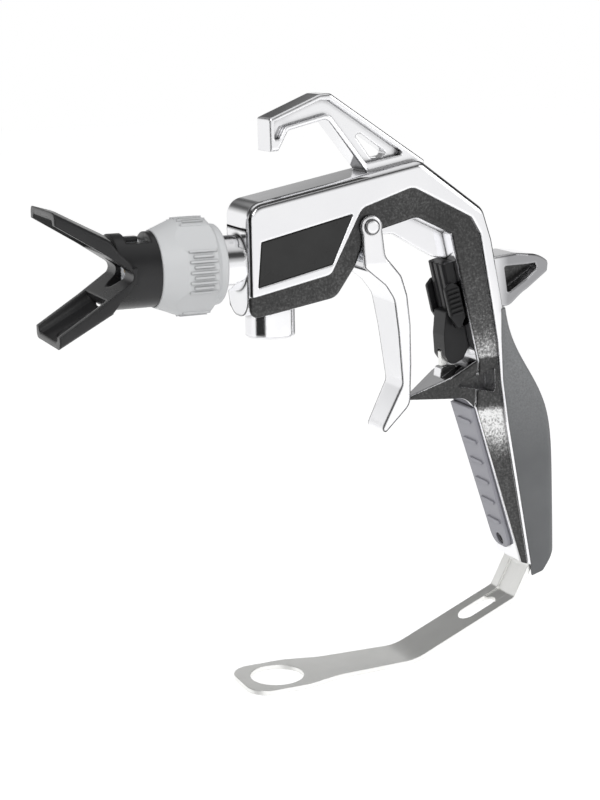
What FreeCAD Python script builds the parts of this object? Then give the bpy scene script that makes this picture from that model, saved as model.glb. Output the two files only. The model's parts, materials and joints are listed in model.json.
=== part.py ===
import FreeCAD, Part
import math
import os
import Sketcher

from FreeCAD import Placement, Rotation, Vector

# Airless spray gun, millimetres. +Z is up, the nozzle points to -X, the trigger pulls towards +X.
# The origin is the centre of the fluid inlet's mouth; the inlet runs up the Z axis.

os.makedirs("parts", exist_ok=True)
doc = FreeCAD.newDocument("spray_gun")

SIZES = {
    # Spray axis and cast body
    "axis_height": 30.4,
    "core_width": 22.4,
    "panel_width": 25.6,
    "head_front": -13.5,
    "cap_underside": 43.7,
    "cap_gap": 0.7,
    "outer_round": 3.0,
    "rim_round": 0.6,
    "core_round": 2.0,
    "label_depth": 0.5,
    "spine_lean": 13.59,
    "gusset_width": 4.0,
    # Hook
    "hook_width": 13.5,
    "hook_web": 6.5,
    "hook_round": 1.2,
    # Finger spurs
    "front_spur_width": 19.0,
    "rear_spur_width": 18.0,
    "spur_web": 5.0,
    "spur_round": 0.9,
    "strip_boss": 6.0,
    # Fluid head
    "head_block_width": 21.0,
    "neck_radius": 11.0,
    "neck_front": -43.0,
    "block_length": 9.5,
    "barrel_radius": 9.5,
    "barrel_rear": 27.0,
    "cap_radius": 5.2,
    "cap_bore_start": 20.0,
    "cap_bore_length": 25.0,
    "spot_reach": 6.4,
    "spot_length": 10.0,
    "block_bottom": 9.2,
    "stub_hole": 10.3,
    "stub_top": 24.2,
    "stub_shoulder": 20.4,
    "spigot_radius": 7.5,
    "inlet_radius": 4.0,
    "guide_radius": 2.05,
    "pivot_hole": 2.55,
    "pin_head": 3.0,
    "pin_head_height": 0.8,
    "head_play": 0.3,
    "stub_radius": 10.1,
    "stub_bore": 7.0,
    "stub_thread_depth": 12.0,
    "chamber_radius": 5.5,
    # Valve train
    "seat_radius": 6.4,
    "seat_rear": -38.0,
    "seat_bed_length": 20.0,
    "needle_radius": 2.0,
    "ball_radius": 2.8,
    "ball_x": -34.6,
    "collar_radius": 4.9,
    "collar_rear": 18.0,
    "spring_wire": 1.0,
    "spring_radius": 4.0,
    "packing_front": 6.0,
    "packing_rear": 12.0,
    "gland_rear": 14.5,
    "cap_face": 33.5,
    "cap_hex": 6.0,
    "cap_rear": 35.4,
    "guide_length": 20.0,
    "puller_x": 40.2,
    "puller_radius": 2.0,
    "eye_radius": 3.6,
    "eye_width": 6.0,
    # Trigger
    "pivot_x": 39.1,
    "pivot_z": 42.3,
    "pivot_radius": 2.5,
    "trigger_width": 26.0,
    "trigger_plate": 1.5,
    "boss_radius": 4.7,
    "running_gap": 0.05,
    # Retaining nut
    "nut_radius": 18.6,
    "nut_front": -49.4,
    "nut_rear": -22.7,
    "nut_mouth": 14.68,
    "nut_flat": 17.5,
    "rib_height": 0.7,
    "long_rib": 11.2,
    "short_rib": 8.0,
    "nut_room": 15.8,
    "nut_outside": 27.0,
    # Tip guard
    "guard_radius": 14.6,
    "guard_rear": -43.1,
    "guard_width": 32.8,
    "guard_flat": 11.4,
    "wing_lean": 28.3,
    "wing_length": 42.0,
    "wing_end": 2.2,
    "channel_length": 23.8,
    "slot_width": 6.6,
    "flange_radius": 15.5,
    "throat_radius": 5.6,
    "throat_start": -50.0,
    "throat_length": 30.0,
    "tip_radius": 4.9,
    "tip_hole": 4.95,
    "tip_x": -56.4,
    "tip_half": 10.5,
    "tip_bed_length": 40.0,
    "tip_passage": 2.4,
    "passage_length": 20.0,
    "tip_key": 1.7,
    "seal_radius": 4.8,
    "seal_hole": 5.0,
    "seal_bed_start": -40.0,
    "seal_bed_length": 15.0,
    # Trigger lock
    "rail_width": 14.0,
    "rail_depth": 5.0,
    "rail_groove": 0.9,
    "tongue_width": 10.0,
    "spine_x": 85.05,
    "rail_length": 27.6,
    "lock_slot": 3.0,
    "slider_width": 17.6,
    "pad_tooth": 0.7,
    "link_play": 0.2,
    "strip_gauge": 2.5,
    # Handle and hose bracket
    "handle_lean": 17.8,
    "strip_width": 18.0,
    "strip_foot": 14.0,
    "strip_thickness": 1.6,
    "strip_pitch": 9.7,
    "strip_rib": 0.7,
    "screw_hole": 2.8,
    "screw_hole_length": 6.0,
    "screw_head": 2.7,
    "screw_height": 0.9,
    "screw_socket": 1.4,
    "grip_width": 22.6,
    "grip_hollow": 15.0,
    "sheet": 2.0,
    "bracket_blank": 40.0,
    "ring_radius": 11.2,
    "emboss_width": 9.0,
    "slot_wide": 9.0,
    "tang_bed": 20.6,
}

sheet = doc.addObject("Spreadsheet::Sheet", "Sizes")
for row, (alias, value) in enumerate(SIZES.items(), 1):
    sheet.set("A%d" % row, alias)
    sheet.set("B%d" % row, str(value))
    sheet.setAlias("B%d" % row, alias)
doc.recompute()


def size(alias):
    """The value of a driving dimension, read back from the sheet."""
    return float(getattr(sheet, alias))


parts = []


def keep(item, label):
    """Give a sub-part its name and put it on the list to be written."""
    item.Label = label
    parts.append(item)
    return item


def new_body(label, tool=False):
    """An empty body; a tool body is only used to shape another one."""
    body = doc.addObject("PartDesign::Body", label)
    if not tool:
        keep(body, label)
    return body


def on_axis(label):
    """An empty body whose X axis is the spray axis."""
    body = new_body(label)
    body.setExpression("Placement.Base.z", "Sizes.axis_height")
    return body


def bore(body, name, role, start, centre, radius, length, reverse=False):
    """Drill a round hole from a plane across one of the body's axes."""
    sketch = circle(sketch_on(body, name, role, start), centre[0], centre[1], radius)
    return pocket(body, sketch, length, symmetric=False, reverse=reverse)


def sketch_on(body, name, role, shift=0.0):
    """A sketch on one of the body's own origin planes, shifted along that plane's normal."""
    sketch = body.newObject("Sketcher::SketchObject", name)
    plane = next(item for item in body.Origin.OriginFeatures if item.Role == role)
    sketch.AttachmentSupport = [(plane, "")]
    sketch.MapMode = "FlatFace"
    sketch.AttachmentOffset = Placement(Vector(0, 0, shift), Rotation())
    return sketch


def corner_arc(before, corner, after, radius):
    """Where a round of this radius leaves the two sides of a corner, and its middle point."""
    towards_before = (before - corner).normalize()
    towards_after = (after - corner).normalize()
    half = towards_before.getAngle(towards_after) / 2
    reach = radius / math.tan(half)
    bisector = (towards_before + towards_after).normalize()
    centre = corner + bisector * (radius / math.sin(half))
    start = corner + towards_before * reach
    end = corner + towards_after * reach
    return start, centre - bisector * radius, end


def outline(sketch, corners):
    """Draw a closed outline; a corner is (u, v) or (u, v, radius of its round)."""
    points = [Vector(corner[0], corner[1], 0) for corner in corners]
    runs = []
    for index, corner in enumerate(corners):
        if len(corner) == 3:
            following = points[(index + 1) % len(points)]
            runs.append(corner_arc(points[index - 1], points[index], following, corner[2]))
        else:
            runs.append((points[index], None, points[index]))
    for index, (start, middle, end) in enumerate(runs):
        if middle is not None:
            sketch.addGeometry(Part.Arc(start, middle, end), False)
        following = runs[(index + 1) % len(runs)][0]
        if (following - end).Length > 1e-6:
            sketch.addGeometry(Part.LineSegment(end, following), False)
    return sketch


def box_corners(left, bottom, right, top, radius=None):
    """A rectangle, with rounded corners if a radius is given."""
    extra = () if radius is None else (radius,)
    return [(left, bottom) + extra, (right, bottom) + extra, (right, top) + extra, (left, top) + extra]


# Longer than the gun is: for cuts that go right through
THROUGH = "400"


def circle(sketch, u, v, radius):
    """A circle whose centre is held in place and whose radius follows a cell."""
    number = sketch.addGeometry(Part.Circle(Vector(u, v, 0), Vector(0, 0, 1), size(radius)), False)
    held = sketch.addConstraint(Sketcher.Constraint("Radius", number, size(radius)))
    sketch.setExpression("Constraints[%d]" % held, "Sizes.%s" % radius)
    return sketch


def settle(feature):
    """Recompute, and stop if the feature failed."""
    doc.recompute()
    if "Invalid" in feature.State or "Error" in feature.State:
        raise RuntimeError("%s failed" % feature.Label)
    return feature


def pad(body, sketch, length, symmetric=True, reverse=False):
    """Add the sketch's outline as a prism; the length is an expression of the sheet."""
    feature = body.newObject("PartDesign::Pad", "Pad")
    feature.Profile = sketch
    feature.SideType = "Symmetric" if symmetric else "One side"
    feature.Reversed = reverse
    feature.Refine = True
    feature.setExpression("Length", length)
    return settle(feature)


def pocket(body, sketch, length, symmetric=True, reverse=False, refine=False):
    """Cut the sketch's outline away; the length is an expression of the sheet."""
    before = body.Shape.Volume
    feature = body.newObject("PartDesign::Pocket", "Pocket")
    feature.Profile = sketch
    feature.SideType = "Symmetric" if symmetric else "One side"
    feature.Reversed = reverse
    feature.Refine = refine
    feature.setExpression("Length", length)
    settle(feature)
    if body.Shape.Volume > before - 0.01:
        raise RuntimeError("%s: %s cuts nothing" % (body.Label, sketch.Label))
    return feature


def turned(body, name, corners, upright=False):
    """Turn a closed half-outline of (x, radius) corners about the X axis, or of (radius, z) about Z."""
    sketch = outline(sketch_on(body, name, "XZ_Plane" if upright else "XY_Plane"), corners)
    feature = body.newObject("PartDesign::Revolution", "Turned")
    feature.Profile = sketch
    feature.ReferenceAxis = (sketch, ["V_Axis" if upright else "H_Axis"])
    feature.Angle = 360
    return settle(feature)


def edges_where(shape, test):
    """Names of the edges that pass a test."""
    return ["Edge%d" % (index + 1) for index, edge in enumerate(shape.Edges) if test(edge)]


def round_edges(body, test, radius):
    """Round the edges of the body's last feature that pass the test."""
    base = body.Tip
    names = edges_where(base.Shape, test)
    if not names:
        raise RuntimeError("%s: no edge to round" % body.Label)
    feature = body.newObject("PartDesign::Fillet", "Edges")
    feature.Base = (base, names)
    feature.setExpression("Radius", radius)
    settle(feature)
    if not body.Shape.isValid():
        raise RuntimeError("%s: the rounds are not sound" % body.Label)
    return feature


def six_corners(reach, level=0.0):
    """The corners of a hexagon whose centre lies at (0, level)."""
    turns = [math.radians(turn) for turn in range(0, 360, 60)]
    return [(reach * math.cos(turn), level + reach * math.sin(turn)) for turn in turns]


def inset(corners, distance):
    """A polygon drawn again inside itself, each side moved in by the distance."""
    count = len(corners)
    points = [Vector(corner[0], corner[1], 0) for corner in corners]
    area = sum(points[i].x * points[(i + 1) % count].y - points[(i + 1) % count].x * points[i].y
               for i in range(count))
    inward = Vector(0, 0, 1) if area > 0 else Vector(0, 0, -1)
    moved = []
    for index in range(count):
        before, corner, after = points[index - 1], points[index], points[(index + 1) % count]
        first = inward.cross((corner - before).normalize())
        second = inward.cross((after - corner).normalize())
        spread = (first + second).normalize()
        point = corner + spread * (distance / spread.dot(first))
        moved.append((point.x, point.y))
    return moved


def combine(body, tool, kind="Fuse"):
    """Join a tool body to a body, or cut it out of it."""
    before = body.Shape.Volume
    feature = body.newObject("PartDesign::Boolean", kind)
    feature.setObjects([tool])
    feature.Type = kind
    feature.Refine = False
    settle(feature)
    if abs(body.Shape.Volume - before) < 0.01:
        raise RuntimeError("%s: %s changes nothing" % (body.Label, tool.Label))
    return feature


def plate(name, corners, width):
    """A tool body: one flat plate of a given width, drawn in the side view."""
    body = new_body(name, tool=True)
    pad(body, outline(sketch_on(body, name + "_side", "XZ_Plane"), corners), "Sizes.%s" % width)
    return body


def near_path(edge, path, reach):
    """True if the middle of the edge lies within reach of an open path in the side view."""
    middle = edge.valueAt((edge.FirstParameter + edge.LastParameter) / 2)
    spot = Vector(middle.x, middle.z, 0)
    for start, end in zip(path, path[1:]):
        first, last = Vector(start[0], start[1], 0), Vector(end[0], end[1], 0)
        along = last - first
        share = max(0.0, min(1.0, (spot - first).dot(along) / along.dot(along)))
        if (spot - first - along * share).Length < reach:
            return True
    return False


def on_side(edge, half):
    """True if the edge lies flat in one of the two planes y = +half and y = -half."""
    box = edge.BoundBox
    return box.YLength < 0.01 and abs(abs(box.Center.y) - half) < 0.01


# Outlines in the side view, as (x, z) or (x, z, round) corners

SPINE_TOP = (76.2, 36.6)
SPINE_FOOT = (89.4, -18.0)
HANDLE_TOP = (88.1, -37.0)
HANDLE_FOOT = (111.0, -108.2)
APEX = (61.5, 67.6)
BACK_BEND = (90.4, 46.6)
BACK_SHOULDER = (94.8, 33.6)
BACK_FOOT = (100.7, 4.4)

BACK_LINE = [BACK_FOOT, BACK_SHOULDER + (14.0,), BACK_BEND + (7.0,), APEX + (6.0,), (-13.5, 53.6, 7.0)]
SEAM = [(115.2, -109.6), (103.0, -44.5), (100.2, -26.0), (99.2, -8.0), (99.0, 4.4)]

BODY_SIDE = [
    (-13.5, 8.3, 4.0), (24.5, 14.6, 7.0), (33.0, 26.5, 9.0), (38.6, 38.9, 2.5), (60.3, 44.3, 4.0),
    SPINE_TOP, SPINE_FOOT, HANDLE_TOP, HANDLE_FOOT,
] + SEAM + BACK_LINE

PANEL_SIDE = [
    (-13.5, 17.4), (21.4, 24.5, 4.0), (35.2, 49.9, 5.0), (57.8, 57.1, 6.0), (84.6, 43.4, 3.0),
    (88.6, 36.8, 3.0), (94.9, 4.0), (97.4, -10.0, 20.0), (98.9, -26.0, 20.0), (101.7, -44.3, 20.0),
    (113.8, -108.9),
] + SEAM + BACK_LINE

HOOK_TIP = [(-1.2, 73.2), (2.4, 73.4), (6.6, 81.0, 2.0), (23.2, 84.9, 3.0), (41.3, 62.0)]
HOOK_BACK = [(66.0, 62.0), (66.0, 67.0), (24.6, 94.9, 3.0), (20.0, 94.6, 3.0), (-1.4, 85.9, 1.0)]
HOOK_RECESS = [(0.5, 77.8, 0.6), (2.7, 77.9, 0.6), (5.2, 82.6, 2.0), (24.0, 87.0, 3.0), (39.9, 66.9, 1.0),
               (57.4, 69.9, 1.0), (24.4, 92.2, 2.0), (20.4, 92.4, 2.0), (0.6, 84.7, 1.0)]
HOOK_WINDOW = [
    (36.2, 78.2, 1.0), (43.4, 68.6, 1.0), (48.7, 68.4, 1.0), (50.6, 70.4, 1.0), (39.0, 78.6, 1.0),
]

GUSSET_SIDE = [
    (46.0, 42.0), (48.6, 37.5), (54.0, 37.4), (72.2, 26.7), (82.0, 25.0), (80.0, 38.0), (60.0, 46.5),
]

FRONT_SPUR = [(61.3, -33.0), (61.8, -31.2), (77.0, -23.6, 30.0), (92.0, -15.6), (94.0, -40.5),
              (89.2, -38.6, 6.0), (83.6, -32.5, 8.0)]
FRONT_HOLLOW = [(78.1, -27.2, 1.0), (96.9, -20.4, 1.0), (97.2, -31.0, 1.0)]
SPUR_PLAN = [(60.0, 1.0), (80.0, 10.5), (80.0, 30.0), (50.0, 30.0), (50.0, 1.0)]
REAR_SPUR = [(96.0, 25.6), (100.5, 4.4), (105.0, 4.4, 6.0), (111.0, 9.6, 20.0), (125.2, 17.2, 1.5),
             (125.8, 21.6, 2.5), (120.0, 25.2, 20.0), (108.0, 26.6)]
REAR_HOLLOW = [(102.0, 21.6, 1.0), (103.8, 9.8, 1.0), (119.4, 19.4, 1.0), (118.0, 21.8, 1.0)]
REAR_PLAN = [(101.0, 12.6), (128.6, 4.5), (128.6, 30.0), (101.0, 30.0)]

STRIP_BOSS = [(75.0, -27.0), (76.0, -20.2, 1.0), (82.0, -19.4, 1.0), (86.0, -24.0)]
LABEL_SIDE = [(-8.4, 39.4, 0.6), (-10.1, 21.4, 0.6), (22.0, 28.4, 0.6), (31.4, 48.2, 0.6)]


# How far from a drawn line an edge may lie and still belong to it
SEAM_REACH = 0.2
BACK_REACH = 2.2
RIM_REACH = 2.6

# The planes in which the two spurs' plans are drawn
FRONT_PLAN_LEVEL = -12.0
REAR_PLAN_LEVEL = 30.0


def gun_body():
    """The polished casting: head, hook, bridge, spine, handle and two finger spurs."""
    body = new_body("gun_body")
    pad(body, outline(sketch_on(body, "core", "XZ_Plane"), BODY_SIDE), "Sizes.core_width")
    core_half = size("core_width") / 2
    joint = [HANDLE_FOOT] + SEAM + [BACK_FOOT]
    round_edges(body, lambda edge: on_side(edge, core_half) and not near_path(edge, joint, SEAM_REACH),
                "Sizes.core_round")
    combine(body, outer_panel())
    combine(body, hook())
    combine(body, spur("front_spur", FRONT_SPUR, SPUR_PLAN, FRONT_PLAN_LEVEL, off_root))
    combine(body, spur("rear_spur", REAR_SPUR, REAR_PLAN, REAR_PLAN_LEVEL, runs_along))
    combine(body, plate("gusset", GUSSET_SIDE, "gusset_width"))
    combine(body, plate("boss", STRIP_BOSS, "strip_boss"))
    for side in (-1, 1):
        recess_from(body, side, "front_hollow", FRONT_HOLLOW, "panel_width", "spur_web")
        recess_from(body, side, "rear_hollow", REAR_HOLLOW, "panel_width", "spur_web")
        label_recess(body, side)
    valve_bores(body)
    return body


def outer_panel():
    """The raised outer panel, from the head along the back to the handle's foot, with its edges rounded."""
    body = plate("outer_panel", PANEL_SIDE, "panel_width")
    half = size("panel_width") / 2
    back = [(97.0, 34.0)] + [corner[:2] for corner in BACK_LINE[2:]] + [(-13.5, 24.0)]
    rim = [corner[:2] for corner in PANEL_SIDE[:11]]
    round_edges(body, lambda edge: on_side(edge, half) and near_path(edge, back, BACK_REACH),
                "Sizes.outer_round")
    round_edges(body, lambda edge: on_side(edge, half) and near_path(edge, rim, RIM_REACH),
                "Sizes.rim_round")
    return body


def hook():
    """The hook that the gun hangs by: rounded all round, sunk to a web on both sides, with a window."""
    body = plate("hook", HOOK_TIP + HOOK_BACK, "hook_width")
    half = size("hook_width") / 2
    round_edges(body, lambda edge: on_side(edge, half), "Sizes.hook_round")
    for side in (-1, 1):
        recess_from(body, side, "hook_recess", HOOK_RECESS, "hook_width", "hook_web")
    pocket(body, outline(sketch_on(body, "hook_window", "XZ_Plane"), HOOK_WINDOW), "Sizes.hook_width")
    return body


def spur(name, corners, plan, level, rounded):
    """A finger spur, padded in the side view and tapered in plan."""
    body = plate(name, corners, name + "_width")
    for side in (-1, 1):
        sketch = sketch_on(body, "%s_taper_%d" % (name, side), "XY_Plane", level)
        outline(sketch, [(x, side * y) for x, y in plan])
        pocket(body, sketch, THROUGH, refine=True)
    round_edges(body, rounded, "Sizes.spur_round")
    return body


def off_root(edge):
    """True for the front spur's edges beside its middle, except where it grows out of the handle."""
    box = edge.BoundBox
    return abs(box.Center.y) > 0.5 and box.XMax < FRONT_SPUR[3][0] + 1.9


def runs_along(edge):
    """True for the rear spur's long edges: off the middle, and not straight across."""
    box = edge.BoundBox
    return abs(box.Center.y) > 1.5 and box.YLength < 0.8 * box.DiagonalLength


def recess_from(body, side, name, corners, width, web):
    """Sink an outline into one side, down to the web that stays in the middle."""
    sketch = sketch_on(body, "%s_%d" % (name, side), "XZ_Plane", -side * size(web) / 2)
    outline(sketch, corners)
    pocket(body, sketch, "(Sizes.%s - Sizes.%s) / 2" % (width, web), symmetric=False, reverse=side < 0)


def label_recess(body, side):
    """The shallow bed of a label plate."""
    sketch = sketch_on(body, "label_%d" % side, "XZ_Plane", -side * size("panel_width") / 2)
    outline(sketch, LABEL_SIDE)
    pocket(body, sketch, "Sizes.label_depth", symmetric=False, reverse=side > 0)


def valve_bores(body):
    """The fork that holds the fluid head, its barrel's bore and the cross bores."""
    axis = (0.0, size("axis_height"))
    sketch = sketch_on(body, "fork", "YZ_Plane", size("head_front") - 1)
    half = size("head_block_width") / 2
    outline(sketch, box_corners(-half, 0.0, half, size("cap_underside") + size("cap_gap")))
    pocket(body, sketch, "Sizes.block_length + 1", symmetric=False, reverse=True)
    bore(body, "barrel_bore", "YZ_Plane", -5.0, axis, "barrel_radius", "Sizes.barrel_rear + 5", reverse=True)
    start = size("cap_bore_start")
    bore(body, "cap_bore", "YZ_Plane", start, axis, "cap_radius", "Sizes.cap_bore_length", reverse=True)
    reach, level = size("spot_reach"), size("axis_height")
    sketch = sketch_on(body, "spot_face", "YZ_Plane", size("cap_face"))
    outline(sketch, box_corners(-reach, level - reach, reach, level + reach))
    pocket(body, sketch, "Sizes.spot_length", symmetric=False, reverse=True)
    bore(body, "stub_bore", "XY_Plane", 0.0, (0.0, 0.0), "stub_hole", "Sizes.stub_top", reverse=True)
    sketch = sketch_on(body, "pivot_bore", "XZ_Plane")
    pocket(body, circle(sketch, size("pivot_x"), size("pivot_z"), "pivot_radius"), "Sizes.core_width + 2")


def label_plates():
    """Two bare plates in the shallow beds of the head's sides."""
    for side, name in ((-1, "near"), (1, "far")):
        body = new_body("label_plate_%s" % name)
        bed = size("panel_width") / 2 - size("label_depth")
        sketch = sketch_on(body, "plate", "XZ_Plane", -side * bed)
        corners = inset([corner[:2] for corner in LABEL_SIDE], 0.5)
        outline(sketch, [corner + (0.5,) for corner in corners])
        pad(body, sketch, "Sizes.label_depth - 0.1", symmetric=False, reverse=side > 0)


def fluid_head():
    """The block that closes the fork, with the threaded neck in front and the valve barrel behind."""
    body = on_axis("fluid_head")
    front = size("head_front")
    neck = size("neck_radius")
    barrel = size("barrel_radius")
    start = size("neck_front")
    rear = size("barrel_rear")
    turned(body, "neck_and_barrel", [
        (start, 0.0), (start, neck - 0.8), (start + 0.8, neck), (front, neck), (front, barrel),
        (rear - 0.6, barrel), (rear, barrel - 0.6), (rear, 0.0),
    ])
    half = size("head_block_width") / 2
    low = size("block_bottom") - size("axis_height")
    high = size("cap_underside") - size("axis_height")
    block = sketch_on(body, "block", "YZ_Plane", front)
    outline(block, [(-half, low, 9.0), (half, low, 9.0), (half, high, 1.0), (-half, high, 1.0)])
    pad(body, block, "Sizes.block_length", symmetric=False)
    centre = (0.0, 0.0)
    reach = "Sizes.barrel_rear + 60"
    bore(body, "chamber", "YZ_Plane", start - 1, centre, "chamber_radius", reach, reverse=True)
    bore(body, "seat_bed", "YZ_Plane", size("seat_rear"), centre, "seat_radius", "Sizes.seat_bed_length")
    foot = -size("axis_height")
    bore(body, "stub_hole", "XY_Plane", foot, centre, "stub_radius", "Sizes.stub_shoulder", reverse=True)
    bore(body, "inlet", "XY_Plane", foot, centre, "spigot_radius", "Sizes.axis_height - 3", reverse=True)


def inlet_stub():
    """The stub that the hose screws into; it screws into the fluid head from below."""
    body = new_body("inlet_stub")
    outer = size("stub_radius")
    spigot = size("spigot_radius")
    thread = size("stub_bore")
    depth = size("stub_thread_depth")
    bore_radius = size("inlet_radius")
    shoulder = size("stub_shoulder")
    top = shoulder + 3.6
    turned(body, "stub", [
        (thread, 0.0), (outer - 0.8, 0.0), (outer, 0.8), (outer, shoulder), (spigot, shoulder), (spigot, top),
        (bore_radius, top), (bore_radius, depth + 1.5), (thread, depth),
    ], upright=True)


def valve_parts():
    """Everything that sits along the spray axis inside the fluid head."""
    needle_radius = size("needle_radius")
    gap = size("running_gap")
    chamber = size("chamber_radius")
    start, shoulder = size("neck_front"), size("seat_rear")
    seat = size("seat_radius")
    turned(on_axis("valve_seat"), "seat", [
        (start, 1.6), (start, seat), (shoulder, seat), (shoulder, chamber), (shoulder + 2.0, chamber),
        (shoulder + 2.0, 2.6), (shoulder + 0.5, 1.6),
    ])
    front, rear = size("packing_front"), size("packing_rear")
    turned(on_axis("needle_packing"), "packing", [
        (front, needle_radius + gap), (front + 1.2, chamber), (rear, chamber), (rear, needle_radius + gap),
    ])
    gland = size("gland_rear")
    turned(on_axis("packing_gland"), "gland", [
        (rear, needle_radius + 2 * gap), (rear, chamber), (gland, chamber), (gland, needle_radius + 2 * gap),
    ])
    sleeve = size("spring_radius")
    wire = size("spring_wire") / 2
    collar, barrel_rear = size("collar_rear"), size("barrel_rear")
    inner, outer = sleeve - wire, sleeve + wire
    turned(on_axis("return_spring"), "spring", [
        (collar, inner), (collar, outer), (barrel_rear, outer), (barrel_rear, inner),
    ])
    cap_radius, face, cap_rear = size("cap_radius"), size("cap_face"), size("cap_rear")
    cap = on_axis("spring_cap")
    turned(cap, "cap", [
        (barrel_rear, needle_radius + gap), (barrel_rear, cap_radius), (face, cap_radius),
        (face, needle_radius + 1.0), (face - 1.0, needle_radius + gap),
    ])
    hexagon = outline(sketch_on(cap, "hexagon", "YZ_Plane", face), six_corners(size("cap_hex")))
    pad(cap, hexagon, "Sizes.cap_rear - Sizes.cap_face", symmetric=False)
    bore(cap, "guide", "YZ_Plane", cap_rear + 1, (0.0, 0.0), "guide_radius", "Sizes.guide_length")


def needle():
    """The valve needle: ball, rod, spring collar and the eye that the trigger pulls."""
    body = on_axis("needle")
    rod = size("needle_radius")
    collar = size("collar_radius")
    rear = size("collar_rear")
    eye_x = size("puller_x")
    turned(body, "rod", [
        (size("ball_x"), 0.0), (size("ball_x"), rod), (rear - 2.0, rod), (rear - 2.0, collar), (rear, collar),
        (rear, rod), (eye_x, rod), (eye_x, 0.0),
    ])
    ball = body.newObject("PartDesign::AdditiveSphere", "Ball")
    ball.setExpression("Radius", "Sizes.ball_radius")
    ball.AttachmentOffset = Placement(Vector(size("ball_x"), 0, 0), Rotation())
    ball.Placement = Placement(Vector(size("ball_x"), 0, 0), Rotation())
    settle(ball)
    pad(body, circle(sketch_on(body, "eye", "XZ_Plane"), eye_x, 0.0, "eye_radius"), "Sizes.eye_width")
    half = size("puller_radius") + 2 * size("running_gap")
    slot = box_corners(eye_x - half, -half - 0.4, eye_x + half, half + 0.4, half - 0.2)
    pocket(body, outline(sketch_on(body, "slot", "XZ_Plane"), slot), "Sizes.eye_width + 1")


TRIGGER_FRONT = [
    (35.0, 42.3), (35.4, 32.6), (36.0, 26.0, 2.0), (46.0, 18.0, 6.0), (50.2, 12.0, 8.0), (52.6, -2.0),
    (55.3, -24.5, 5.0), (46.2, -42.6, 1.5),
]
TRIGGER_REAR = [
    (47.6, -44.2, 1.0), (59.0, -33.0, 7.0), (58.9, -16.3), (57.9, 1.0, 20.0), (56.0, 13.0, 10.0),
    (52.6, 21.6, 6.0), (45.0, 30.0, 6.0), (43.4, 42.3),
]
TRIGGER_CAVITY = [
    (30.0, 24.8), (40.2, 24.8), (47.4, 19.6, 5.0), (52.2, 12.6, 7.0), (54.6, -1.8), (57.2, -24.4, 4.0),
    (48.0, -41.4), (62.0, -50.0), (70.0, 0.0), (64.0, 50.0), (30.0, 50.0),
]
TRIGGER_HALF_WIDTHS = [(13.0, 50.0), (13.0, 27.0), (10.6, 12.0), (7.8, -25.0), (7.0, -46.0)]


def taper_sides(body, margin):
    """Take off what lies outside the trigger's front view, drawn in by a margin."""
    for side in (-1, 1):
        sketch = sketch_on(body, "taper_%d" % side, "YZ_Plane")
        line = [(side * (half - margin), z) for half, z in TRIGGER_HALF_WIDTHS]
        outline(sketch, line + [(side * 20.0, -46.0), (side * 20.0, 50.0)])
        pocket(body, sketch, THROUGH)


def trigger():
    """A four-finger trigger: a channel open to the rear, with two ears that straddle the head."""
    cavity = new_body("trigger_cavity", tool=True)
    pad(cavity, outline(sketch_on(cavity, "hollow", "XZ_Plane"), TRIGGER_CAVITY), "Sizes.trigger_width + 4")
    taper_sides(cavity, size("trigger_plate"))
    body = new_body("trigger")
    x, z = size("pivot_x"), size("pivot_z")
    side = outline(sketch_on(body, "side", "XZ_Plane"), TRIGGER_FRONT + TRIGGER_REAR)
    pad(body, side, "Sizes.trigger_width")
    pad(body, circle(sketch_on(body, "boss", "XZ_Plane"), x, z, "boss_radius"), "Sizes.trigger_width")
    taper_sides(body, 0.0)
    combine(body, cavity, "Cut")
    pocket(body, circle(sketch_on(body, "pivot", "XZ_Plane"), x, z, "pivot_hole"), "Sizes.trigger_width + 2")


def trigger_pins():
    """The pivot pin with its two heads, and the pin that pulls the needle."""
    pivot = new_body("trigger_pivot_pin")
    x, z = size("pivot_x"), size("pivot_z")
    shank = circle(sketch_on(pivot, "shank", "XZ_Plane"), x, z, "pivot_radius")
    pad(pivot, shank, "Sizes.trigger_width + 2 * Sizes.head_play")
    head = size("trigger_width") / 2 + size("head_play")
    for side in (-1, 1):
        sketch = circle(sketch_on(pivot, "head_%d" % side, "XZ_Plane", -side * head), x, z, "pin_head")
        pad(pivot, sketch, "Sizes.pin_head_height", symmetric=False, reverse=side > 0)
    puller = new_body("needle_puller_pin")
    x, z = size("puller_x"), size("axis_height")
    shank = circle(sketch_on(puller, "shank", "XZ_Plane"), x, z, "puller_radius")
    pad(puller, shank, "Sizes.trigger_width - 2 * Sizes.trigger_plate")


def retaining_nut():
    """The big grey nut: a turned blank with four flats and four groups of grip ribs."""
    body = on_axis("retaining_nut")
    outer, front, rear = size("nut_radius"), size("nut_front"), size("nut_rear")
    mouth, room = size("nut_mouth"), size("nut_room")
    neck = size("neck_radius") + size("running_gap")
    floor = size("neck_front") + 0.6
    turned(body, "blank", [
        (front, mouth), (front + 0.3, mouth + 0.45), (-40.3, outer), (-28.0, outer), (-26.0, 16.2),
        (-23.4, 15.8), (rear, 15.1), (rear, neck), (floor, neck), (floor, room), (front + 4.1, room),
        (front + 3.2, mouth),
    ])
    flat = size("nut_flat") * math.sqrt(2)
    sketch = circle(sketch_on(body, "flats", "YZ_Plane"), 0.0, 0.0, "nut_outside")
    outline(sketch, [(flat, 0.0, 1.0), (0.0, flat, 1.0), (-flat, 0.0, 1.0), (0.0, -flat, 1.0)])
    pocket(body, sketch, THROUGH)
    for name, first, count, start in (("long", 0, 5, -39.6), ("short", 1, 4, -38.0)):
        sketch = sketch_on(body, name + "_ribs", "YZ_Plane", start)
        for number in range(count):
            turn = RIB_PITCH * (2 * number + first - 4)
            outline(sketch, rib_corners(turn, outer))
        ribs = pad(body, sketch, "Sizes.%s_rib" % name, symmetric=False)
        around(body, ribs, sketch, 4)


# The ribs' angles: from one to the next, half the foot and half the crest
RIB_PITCH = 6.2
RIB_FOOT = 1.9
RIB_CREST = 1.2


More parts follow.
